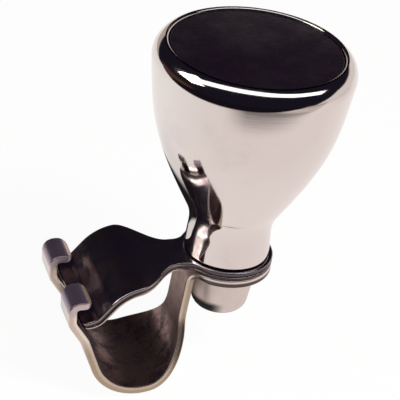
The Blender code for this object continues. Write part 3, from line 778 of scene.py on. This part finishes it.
# %% Worn edge
WEAR_GRAIN = 700.0
WEAR_SWING = 0.07
WORN_THROUGH = 0.95
worn, given, result = new_group("worn_edge", {
    "Position": VECTOR, "Edge": 0.0, "Face colour": COLOUR, "Edge colour": COLOUR, "Reach": 0.6},
    {"Colour": COLOUR, "Mask": NUMBER})
swing = mix_values(worn, noise(worn, given["Position"], WEAR_GRAIN, 4.0), -WEAR_SWING, WEAR_SWING)
mask = spread(worn, maths(worn, "ADD", given["Edge"], swing), given["Reach"], WORN_THROUGH)
plug(worn, blend_colours(worn, mask, given["Face colour"], given["Edge colour"]), result["Colour"])
plug(worn, mask, result["Mask"])

# %% Tarnish
SPECKS = 1400.0
SPECK_SHARE = 0.35
FULL_GRIME = 0.82
tarnish, given, result = new_group("tarnish", {
    "Position": VECTOR, "Pale tone": COLOUR, "Dark tone": COLOUR, "Blotches": 170.0, "Bare": 0.25},
    {"Colour": COLOUR, "Grime": NUMBER})
large = noise(tarnish, given["Position"], given["Blotches"], 6.0, 0.65, 0.4)
small = noise(tarnish, given["Position"], SPECKS, 3.0)
summed = maths(tarnish, "MULTIPLY_ADD", small, SPECK_SHARE, large)
grime = spread(tarnish, summed, given["Bare"], FULL_GRIME)
stained = blend_colours(tarnish, grime, given["Pale tone"], given["Dark tone"])
plug(tarnish, stained, result["Colour"])
plug(tarnish, grime, result["Grime"])


# %% A plain start for each finish
def start_finish(name, metallic, base_colour, roughness):
    """A material with one Principled shader: material, tree, its sockets and the position."""
    made = bpy.data.materials.new(name)
    made.use_nodes = True
    tree = made.node_tree
    shader = tree.nodes["Principled BSDF"].inputs
    plug(tree, metallic, shader["Metallic"])
    plug(tree, base_colour, shader["Base Color"])
    plug(tree, roughness, shader["Roughness"])
    return made, tree, shader, add_node(tree, "TexCoord").outputs["Object"]


def add_relief(tree, shader, height, distance):
    """Feed a height through a Bump node into the shader's normal."""
    bump = add_node(tree, "Bump", {"Distance": distance, "Strength": 1.0, "Height": height})
    plug(tree, bump.outputs["Normal"], shader["Normal"])


# %% [markdown]
# ## Chrome
# The plating is nearly a mirror with a faint warm pink in it. On the goblet the polishing
# wheel ran round the axis, so its marks are rings. Handling has left thin patches of haze.
# The nut is duller. Its lower rim is darkened by painted shade with a little dirt, and the
# corner beside the strap holds a near-black painted shade that covers the metal.

# %% Chrome on turned pieces
MARK_DEPTH = 0.000004
HAZE_DEEPENS = 0.93
# Painted shade: the nut's lower rim is darkened, with a little dirt, and the corner beside the
# strap is painted near-black over the metal.
RIM_DIRT_AND_SHADE, RIM_DIRT_AND_SHADE_ENDS = (0.13, 0.095, 0.085), (0.0014, 0.0003)
CORNER_SHADE, CORNER_SHADE_ENDS = (0.02, 0.016, 0.016), (0.0042, 0.0026)
CORNER_SIDE = (0.0008, 0.0042)
CORNER_METAL, CORNER_ROUGH = 0.15, 0.80


def turned_chrome(name, colour, clear, dull, shaded_end=None):
    """Chrome on a turned piece: ring-shaped polishing marks and a little haze.

    The last argument is the height of an end whose rim is darkened by painted shade with a
    little dirt. The shade's ends count up from there, and the corner's side counts from the
    post towards the strap.
    """
    made, tree, shader, position = start_finish(name, 1.0, colour, clear)
    spots = use_group(tree, haze, position, Clear=clear, Dull=dull, Patches_per_metre=90.0,
                      Spread=0.25)
    deep = tuple(c * HAZE_DEEPENS for c in colour)
    shown, rough = blend_colours(tree, spots["Patch"], colour, deep), spots["Roughness"]
    if shaded_end is not None:
        place = add_node(tree, "SeparateXYZ", {"Vector": position}).outputs
        rim = spread(tree, place["Z"], *(shaded_end + h for h in RIM_DIRT_AND_SHADE_ENDS))
        low = spread(tree, place["Z"], *(shaded_end + h for h in CORNER_SHADE_ENDS))
        beside = spread(tree, place["X"], *(POST_X - x for x in CORNER_SIDE))
        corner = maths(tree, "MULTIPLY", low, beside)
        shown = blend_colours(tree, rim, shown, RIM_DIRT_AND_SHADE)
        shown = blend_colours(tree, corner, shown, CORNER_SHADE)
        plug(tree, mix_values(tree, corner, 1.0, CORNER_METAL), shader["Metallic"])
        rough = mix_values(tree, corner, rough, CORNER_ROUGH)
    plug(tree, rough, shader["Roughness"])
    plug(tree, shown, shader["Base Color"])
    rings = use_group(tree, marks, position, Stretch=(0.02, 0.02, 1.0), Marks=2500.0)
    add_relief(tree, shader, rings["Height"], MARK_DEPTH)
    return made


goblet_chrome = turned_chrome("goblet_chrome", (0.80, 0.755, 0.735), 0.07, 0.16)
nut_chrome = turned_chrome("nut_chrome", (0.76, 0.69, 0.655), 0.42, 0.50, TONGUE_TOP + nut_low)

# %% [markdown]
# ## Sheet metal
# The leaves were polished along their length. A press leaves two bands on a cut edge, one
# burnished and one torn. Both are tan here, darkened by painted shade round the tongue, where
# the leaves lie tight together under the knob, and pale on the strap's legs.

# %% Faces and cut edges of a leaf
BURNISHED = (0.57, 0.48, 0.39)
TORN = (0.47, 0.37, 0.28)
TORN_DEPTHS = (0.25, 0.50)
CUT_ROUGH = (0.26, 0.38)
TONGUE_ZONE = (0.0145, 0.0115)
# Painted shade: the cut edges turn near-black round the tongue, under the knob.
TONGUE_SHADE = ((0.20, 0.18, 0.19), (0.11, 0.09, 0.10))


def read_mark(tree, label, start, stop):
    """One of the leaf's own numbers, spread from 0 to 1 between two values."""
    mark = add_node(tree, "Attribute", attribute_name=label).outputs["Fac"]
    return spread(tree, mark, start, stop)


def finish_leaf(tree, shader, position, face, rough, burnished, torn_metal):
    """Lay the cut edge over a leaf's faces, and the sheet's rolling marks over both."""
    torn = read_mark(tree, "depth", *TORN_DEPTHS)
    edge = add_node(tree, "Attribute", attribute_name="edge").outputs["Fac"]
    band = blend_colours(tree, torn, burnished, torn_metal)
    rim = use_group(tree, worn, position, Edge=edge, Reach=0.45, Face_colour=face, Edge_colour=band)
    plug(tree, rim["Colour"], shader["Base Color"])
    rough = mix_values(tree, rim["Mask"], rough, mix_values(tree, torn, *CUT_ROUGH))
    plug(tree, rough, shader["Roughness"])
    flow = add_node(tree, "UVMap", uv_map="flow").outputs["UV"]
    lines = use_group(tree, marks, flow, Stretch=(0.04, 1.0, 1.0), Marks=120.0)
    add_relief(tree, shader, lines["Height"], MARK_DEPTH)


def saddle_chrome(name, bright, stained, clear, dull, edges):
    """Plating of the upper leaves: two tones in wide stains, a dull bloom and cut edges, darkened
    round the tongue by painted shade.
    """
    made, tree, shader, position = start_finish(name, 1.0, bright, clear)
    stain = use_group(tree, tarnish, position, Pale_tone=bright, Dark_tone=stained,
                      Blotches=110.0, Bare=0.54)
    bloom = mix_values(tree, stain["Grime"], clear, dull)
    tongue = read_mark(tree, "along", *TONGUE_ZONE)
    edges = [blend_colours(tree, tongue, tone, shade_tone) for tone, shade_tone in zip(edges, TONGUE_SHADE)]
    finish_leaf(tree, shader, position, stain["Colour"], bloom, *edges)
    return made


plate_chrome = saddle_chrome(
    "plate_chrome", (0.60, 0.56, 0.64), (0.44, 0.33, 0.34), 0.12, 0.22,
    ((0.52, 0.47, 0.45), (0.13, 0.10, 0.11)))
liner_steel = saddle_chrome(
    "liner_steel", (0.56, 0.50, 0.48), (0.34, 0.26, 0.25), 0.22, 0.40,
    ((0.68, 0.57, 0.54), (0.62, 0.51, 0.48)))

# %% [markdown]
# ## The strap's tones
# Outside the strap is polished. Inside, where the rim sits, it is tarnished, and light and
# shade are painted over the tarnish: painted light on the wall beside the post, painted shade
# at the bottom of the U and on the legs. The hooks have a dull violet film, with a painted
# highlight on their rolled noses. The tables below give each zone by the distances along the
# strap where its tone begins and is complete.

# %% The strap's finish
OUTSIDE = (0.74, 0.68, 0.66)
TIP_FILM = (0.24, 0.18, 0.26)
# The nose tone is a painted highlight: an orange glint on the hooks' rolled noses.
NOSE_HIGHLIGHT = (0.66, 0.47, 0.37)
STAIN_ROUGH, STAIN_METAL = (0.32, 0.48), (0.90, 0.80)
FILM_ROUGH, FILM_METAL = 0.33, 0.86
OUTER_DEPTHS = (0.35, 0.65)
TIP_ZONE = (0.0734, 0.0744)
NOSE_ZONE = (strap_end - 0.0012, strap_end - 0.0008)
LEGS = (0.0600, 0.0670)
WALL, BOTTOM_BEGINS, BOTTOM_ENDS = (0.0340, 0.0240), (0.0300, 0.0370), (0.0530, 0.0450)
# Painted light on the wall beside the post, painted shade at the bottom of the U and on the legs,
# all over the tarnish.
INSIDE_LIGHT_AND_SHADE = [([WALL], 0.75, (0.52, 0.38, 0.35)),
                ([BOTTOM_BEGINS, BOTTOM_ENDS], 0.65, (0.025, 0.014, 0.019)),
                ([LEGS], 1.0, (0.10, 0.06, 0.07))]
# Round the tongue the torn band is near-black: painted shade under the knob.
# Zone, burnished band and torn metal: the tongue, the legs, the hooks and the hooks' ends.
EDGE_TONES = [
    ((0.0130, 0.0110), (0.78, 0.70, 0.66), (0.11, 0.085, 0.08)),
    (LEGS, (0.86, 0.77, 0.67), (0.72, 0.62, 0.54)),
    ((0.0722, 0.0740), (0.56, 0.47, 0.48), (0.62, 0.53, 0.53)),
    ((strap_end - 0.0009, strap_end - 0.0004), (0.30, 0.20, 0.16), (0.16, 0.11, 0.10))]


def strap_finish(name):
    """The strap: polished outside, tarnished where the rim sits with painted light and shade over
    it, dull violet hook tips with a painted highlight on the noses.
    """
    made, tree, shader, position = start_finish(name, 1.0, OUTSIDE, 0.1)
    spots = use_group(tree, haze, position, Clear=0.09, Dull=0.2, Patches_per_metre=140.0,
                      Spread=0.4)
    stain = use_group(tree, tarnish, position, Pale_tone=(0.42, 0.265, 0.245),
                      Dark_tone=(0.06, 0.033, 0.042), Blotches=240.0, Bare=0.50)
    inner = stain["Colour"]
    for zones, strength, tone in INSIDE_LIGHT_AND_SHADE:
        share = strength
        for zone in zones:
            share = maths(tree, "MULTIPLY", share, read_mark(tree, "along", *zone))
        inner = blend_colours(tree, share, inner, tone)
    outer = read_mark(tree, "depth", *OUTER_DEPTHS)
    tip, nose = (maths(tree, "MULTIPLY", outer, read_mark(tree, "along", *zone))
                 for zone in (TIP_ZONE, NOSE_ZONE))
    capped = blend_colours(tree, tip, OUTSIDE, TIP_FILM)
    face = blend_colours(tree, nose, blend_colours(tree, outer, inner, capped), NOSE_HIGHLIGHT)
    rough, metal = (
        mix_values(tree, outer, mix_values(tree, stain["Grime"], *dirty),
                   mix_values(tree, tip, clean, filmed))
        for dirty, clean, filmed in ((STAIN_ROUGH, spots["Roughness"], FILM_ROUGH),
                                     (STAIN_METAL, 1.0, FILM_METAL)))
    edges = BURNISHED, TORN
    for zone, *tones in EDGE_TONES:
        here = read_mark(tree, "along", *zone)
        edges = [blend_colours(tree, here, was, tone) for was, tone in zip(edges, tones)]
    finish_leaf(tree, shader, position, face, rough, *edges)
    plug(tree, metal, shader["Metallic"])
    return made


strap_chrome = strap_finish("strap_chrome")

# %% [markdown]
# ## Grained finishes
# The disc is glossy black with a trace of purple. Close up it has fine grain, a slight
# unevenness and a few dull wipe marks. Fibre, bronze and plain steel are made alike.

# %% Enamel, fibre, bronze and steel
def grained(name, metallic, dark, light, grains, clear, dull, relief):
    """A finish whose colour varies finely between two tones, with haze and a shallow relief."""
    made, tree, shader, position = start_finish(name, metallic, dark, clear)
    grain = noise(tree, position, grains, 4.0)
    plug(tree, blend_colours(tree, grain, dark, light), shader["Base Color"])
    spots = use_group(tree, haze, position, Clear=clear, Dull=dull, Spread=0.35)
    plug(tree, spots["Roughness"], shader["Roughness"])
    add_relief(tree, shader, grain, relief)
    return made


black_enamel = grained("black_enamel", 0.0, (0.004, 0.002, 0.004), (0.013, 0.007, 0.014),
                       900.0, 0.16, 0.24, 0.00002)
washer_fibre = grained("washer_fibre", 0.0, (0.030, 0.020, 0.018), (0.070, 0.050, 0.045),
                       1800.0, 0.6, 0.8, 0.00004)
bush_bronze = grained("bush_bronze", 1.0, (0.48, 0.30, 0.13), (0.62, 0.42, 0.20),
                      1200.0, 0.28, 0.45, 0.00001)
bright_steel = grained("bright_steel", 1.0, (0.55, 0.53, 0.51), (0.68, 0.66, 0.64),
                       1500.0, 0.16, 0.30, 0.000006)

# %% Dress the pieces
dress(knob, "knob", "chrome", goblet_chrome, "knob_shell")
dress(disc, "knob", "black_enamel", black_enamel, "top_disc")
dress(saddle_plate, "clamp", "chrome", plate_chrome, "saddle_plate")
dress(saddle_liner, "clamp", "bright_steel", liner_steel, "saddle_liner")
dress(rim_strap, "clamp", "chrome", strap_chrome, "rim_strap")
dress(neck_washer, "clamp", "washer_fibre", washer_fibre, "base_washer")
dress(split_washer, "clamp", "bright_steel", bright_steel, "lock_washer")
dress(nut, "clamp", "chrome", nut_chrome, "clamp_nut")
for node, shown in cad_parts.items():
    if node.startswith(("ball_", "bearing_", "pivot_bolt", "lower_bush")):
        shown.data.materials.clear()
        shown.data.materials.append(bush_bronze if node == "lower_bush" else bright_steel)

# %% [markdown]
# ## The studio
# Chrome has no look of its own: it shows its surroundings. The photograph's reflections
# tell where they were. The goblet's wall mirrors a pale table, which ends in a straight
# front edge about 13 cm away. In mirrors the table glows with painted light, brighter behind
# and to the left, dimmer in front and to the right. Two parts of it are darker, both painted
# shade: the shadow behind the knob, and a dim ring to the front and right that makes the
# smudge under the shoulder. Beyond the edge the room is dark, with something brown at the
# left and a low pale wall behind. The camera sees pure white behind the object.

# %% A soft spot on the table
soft_spot, given, result = new_group("soft_spot", {
    "Position": VECTOR, "Centre": VECTOR, "Reach": (0.03, 0.03, 1.0), "Core": 0.0},
    {"Clear": NUMBER})
apart = maths(soft_spot, "SUBTRACT", given["Position"], given["Centre"], kind="VectorMath")
apart = maths(soft_spot, "DIVIDE", apart, given["Reach"], kind="VectorMath")
apart = maths(soft_spot, "LENGTH", apart, kind="VectorMath", output="Value")
plug(soft_spot, spread(soft_spot, apart, given["Core"], 1.0), result["Clear"])

# %% Table
FLOOR_Z = -0.0140
TABLE_HALF = 2.5
EDGE_NEAR = 0.135
EDGE_SLOPE = 0.45
EDGE_BLUR = 0.02
CAMERA_SHADOW = 0.045
MIRROR_SHADOW = 0.2
WHITE = (1, 1, 1)
BROWN = (0.085, 0.040, 0.026)
# Painted light: the table's glow is brighter behind and to the left, dimmer in front and to the
# right.
PAPER_BEHIND, PAPER_BEFORE = (1.0, 0.97, 0.945), (0.81, 0.72, 0.695)
PAPER_SHADOW, PAPER_MATT = (0.012, 0.010, 0.012), (0.86, 0.79, 0.77)
# Painted shade: a dim ring to the front and right, paling towards its right side.
RING_NEAR, RING_FAR = (0.035, 0.022, 0.016), (0.46, 0.39, 0.35)
BEYOND_EDGE = (0.008, 0.006, 0.010)
# Where each ramp starts and is complete, in metres.
TOWARD_CAMERA, FAR_LEFT = (-0.12, 0.10), (0.5, 1.2)
TOWARD_TURN, FAR_TURN = 0.75, 1.2
RING_FORWARD, RING_RIGHT, RING_PALES = (0.03, 0.06), (-0.03, 0.02), (0.10, 0.20)
# Forward and sideways, in metres.
SHADOW_SPOT = {"Centre": (-0.055, 0.0, 0), "Reach": (0.060, 0.027, 1), "Core": 0.65}
RING_SPOT = {"Centre": (-0.052, 0.015, 0), "Reach": (0.165, 0.165, 1), "Core": 0.873}

table_mesh = bpy.data.meshes.new("table")
corners = [(x, y, FLOOR_Z) for x, y in (
    (-TABLE_HALF, -TABLE_HALF), (TABLE_HALF, -TABLE_HALF),
    (TABLE_HALF, TABLE_HALF), (-TABLE_HALF, TABLE_HALF))]
table_mesh.from_pydata(corners, [], [(0, 1, 2, 3)])
table = add_object("table", table_mesh)
table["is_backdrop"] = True

paper = bpy.data.materials.new("table_paper")
paper.use_nodes = True
tree = paper.node_tree
tree.nodes.remove(tree.nodes["Principled BSDF"])
table_mesh.materials.append(paper)
ray = add_node(tree, "LightPath").outputs
place = add_node(tree, "TexCoord").outputs["Object"]
forward, rightward = along_way(tree, place, front), along_way(tree, place, level)
here = add_node(tree, "CombineXYZ", {"X": forward, "Y": rightward}).outputs["Vector"]

# %% Tones of the table, as the chrome sees it
across = along_way(tree, place, front - EDGE_SLOPE * level)
shade = spread(tree, across, EDGE_NEAR + EDGE_BLUR, EDGE_NEAR - EDGE_BLUR)
toward = along_way(tree, place, front + TOWARD_TURN * level)
toward = spread(tree, toward, *TOWARD_CAMERA, "LINEAR")
pale = blend_colours(tree, toward, PAPER_BEHIND, PAPER_BEFORE)
unshadowed = use_group(tree, soft_spot, here, **SHADOW_SPOT)["Clear"]
pale = blend_colours(tree, unshadowed, PAPER_SHADOW, pale)
ring = use_group(tree, soft_spot, here, **RING_SPOT)["Clear"]
ring = maths(tree, "MULTIPLY", ring, spread(tree, forward, *RING_FORWARD, "LINEAR"))
ring = maths(tree, "MULTIPLY", ring, spread(tree, rightward, *RING_RIGHT, "LINEAR"))
paling = spread(tree, rightward, *RING_PALES, "LINEAR")
pale = blend_colours(tree, ring, pale, blend_colours(tree, paling, RING_NEAR, RING_FAR))
far_left = along_way(tree, place, -level - FAR_TURN * front)
far_left = spread(tree, far_left, *FAR_LEFT, "LINEAR")
dark = blend_colours(tree, far_left, BEYOND_EDGE, BROWN)
mirrored = blend_colours(tree, shade, dark, pale)

# %% Mix of the table's glow and its matt paper
seen = blend_colours(tree, ray["Is Camera Ray"], mirrored, WHITE)
glow = add_node(tree, "Emission", {"Color": seen}).outputs[0]
matt = add_node(tree, "BsdfDiffuse", {"Color": PAPER_MATT}).outputs[0]
in_mirror = maths(tree, "MAXIMUM", ray["Is Glossy Ray"], ray["Is Transmission Ray"])
lit_part = maths(tree, "MULTIPLY", shade, unshadowed)
own = maths(tree, "MULTIPLY_ADD", lit_part, -MIRROR_SHADOW, 1.0)
mirror_share = maths(tree, "MULTIPLY", in_mirror, own)
share = maths(tree, "MULTIPLY_ADD", ray["Is Camera Ray"], 1 - CAMERA_SHADOW, mirror_share)
both = add_node(tree, "MixShader", {0: share, 1: matt, 2: glow}).outputs[0]
plug(tree, both, tree.nodes["Material Output"].inputs["Surface"])
print("table at", FLOOR_Z, "its front edge", EDGE_NEAR, "m from the rim")

# %% Room
ROOM_DARK = (0.010, 0.008, 0.015)
WALL_LEFT, WALL_RIGHT = (0.50, 0.42, 0.38), (0.76, 0.69, 0.65)
FILL = (0.16, 0.16, 0.16)
WALL_TURN = 0.47
WALL_SLOPE = 0.57
WALL_START = 0.117
WALL_HIGHEST = 0.30
WALL_BLUR = 0.04
DOOR_LEFT, DOOR_TOP, WALL_RAMP = (0.84, 0.97), (0.20, 0.04), (-0.3, 0.4)
room = bpy.data.worlds.new("room")
bpy.context.scene.world = room
room.use_nodes = True
tree = room.node_tree
ray = add_node(tree, "LightPath").outputs
direction = add_node(tree, "TexCoord").outputs["Generated"]
height = add_node(tree, "SeparateXYZ", {"Vector": direction}).outputs["Z"]
behind = along_way(tree, direction, WALL_SLOPE * (WALL_TURN * level - front))
wall_top = maths(tree, "MINIMUM", maths(tree, "SUBTRACT", behind, WALL_START), WALL_HIGHEST)
low_wall = spread(tree, maths(tree, "SUBTRACT", height, wall_top), WALL_BLUR, -WALL_BLUR)
leftward = spread(tree, along_way(tree, direction, -level), *DOOR_LEFT)
door = maths(tree, "MULTIPLY", leftward, spread(tree, height, *DOOR_TOP))
to_right = spread(tree, along_way(tree, direction, level), *WALL_RAMP, "LINEAR")
wall_tone = blend_colours(tree, to_right, WALL_LEFT, WALL_RIGHT)
dim = blend_colours(tree, low_wall, blend_colours(tree, door, ROOM_DARK, BROWN), wall_tone)
lit = blend_colours(tree, ray["Is Diffuse Ray"], dim, FILL)
seen = blend_colours(tree, ray["Is Camera Ray"], lit, WHITE)
background = tree.nodes["Background"].inputs
plug(tree, seen, background["Color"])
background["Strength"].default_value = 1.0

# %% [markdown]
# ## Lamps
# The bright arc on the shoulder is the image of one long soft light overhead, which bends
# at its right end, so it is made of three strips. Two warmer and brighter boxes at its left
# give the wide start of the arc. The mirrors see only these five. The sixth lamp lights
# what is matt: the fibre washer and the table, where it makes the object's shadow.

# %% Hang the lamps
LAMP_HEIGHT = 0.45
KNOB_TOP = Vector((POST_X, 0, 0.072))
UP = Vector((0, 0, 1))
WARM = (1.0, 0.98, 0.84)


def hang_lamp(name, forward, sideways, long_side, short_side, degrees, brightness,
              colour=(1, 1, 1), height=1.0, mirrored=True):
    """An area lamp, placed forward and sideways of the knob's top, its long side turned.

    All lengths are shares of the lamp height. brightness is how many times brighter than
    white it looks. A mirrored lamp hangs level and shows only in reflections. Any other
    faces the knob and lights only what is matt.
    """
    data = bpy.data.lights.new(name, "AREA")
    data.shape = "RECTANGLE"
    data.size, data.size_y = long_side * LAMP_HEIGHT, short_side * LAMP_HEIGHT
    data.energy = pi * brightness * data.size * data.size_y
    data.color = colour
    lamp = add_object(name, data)
    lamp.visible_glossy, lamp.visible_diffuse = mirrored, not mirrored
    place = KNOB_TOP + LAMP_HEIGHT * (forward * front + sideways * level + height * UP)
    down = UP if mirrored else (place - KNOB_TOP).normalized()
    turn = radians(degrees)
    side = down.cross(cos(turn) * level + sin(turn) * front).normalized()
    turned = Matrix((side.cross(down), side, down)).transposed().to_4x4()
    lamp.matrix_world = Matrix.Translation(place) @ turned
    print(name, [round(v, 3) for v in place])


hang_lamp("overhead_strip", 0.366, -0.575, 1.85, 0.43, -1.5, 1.7)
hang_lamp("overhead_bend", 0.297, 0.488, 0.42, 0.41, -17.8, 1.7)
hang_lamp("overhead_end", 0.021, 1.005, 0.876, 0.40, -33.4, 1.7)
hang_lamp("left_box", 0.385, -1.66, 0.88, 0.93, 0, 5.2, WARM)
hang_lamp("left_end", 0.07, -0.99, 0.46, 0.20, 0, 3.0, WARM)
hang_lamp("key", 0.62, 0.78, 0.5, 0.5, 0, 41, height=1.2, mirrored=False)
bpy.context.scene.view_settings.view_transform = "Standard"

# %% Measure and finish
low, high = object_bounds()
print("visual", [round(v * 1000, 3) for v in (*low, *high)])
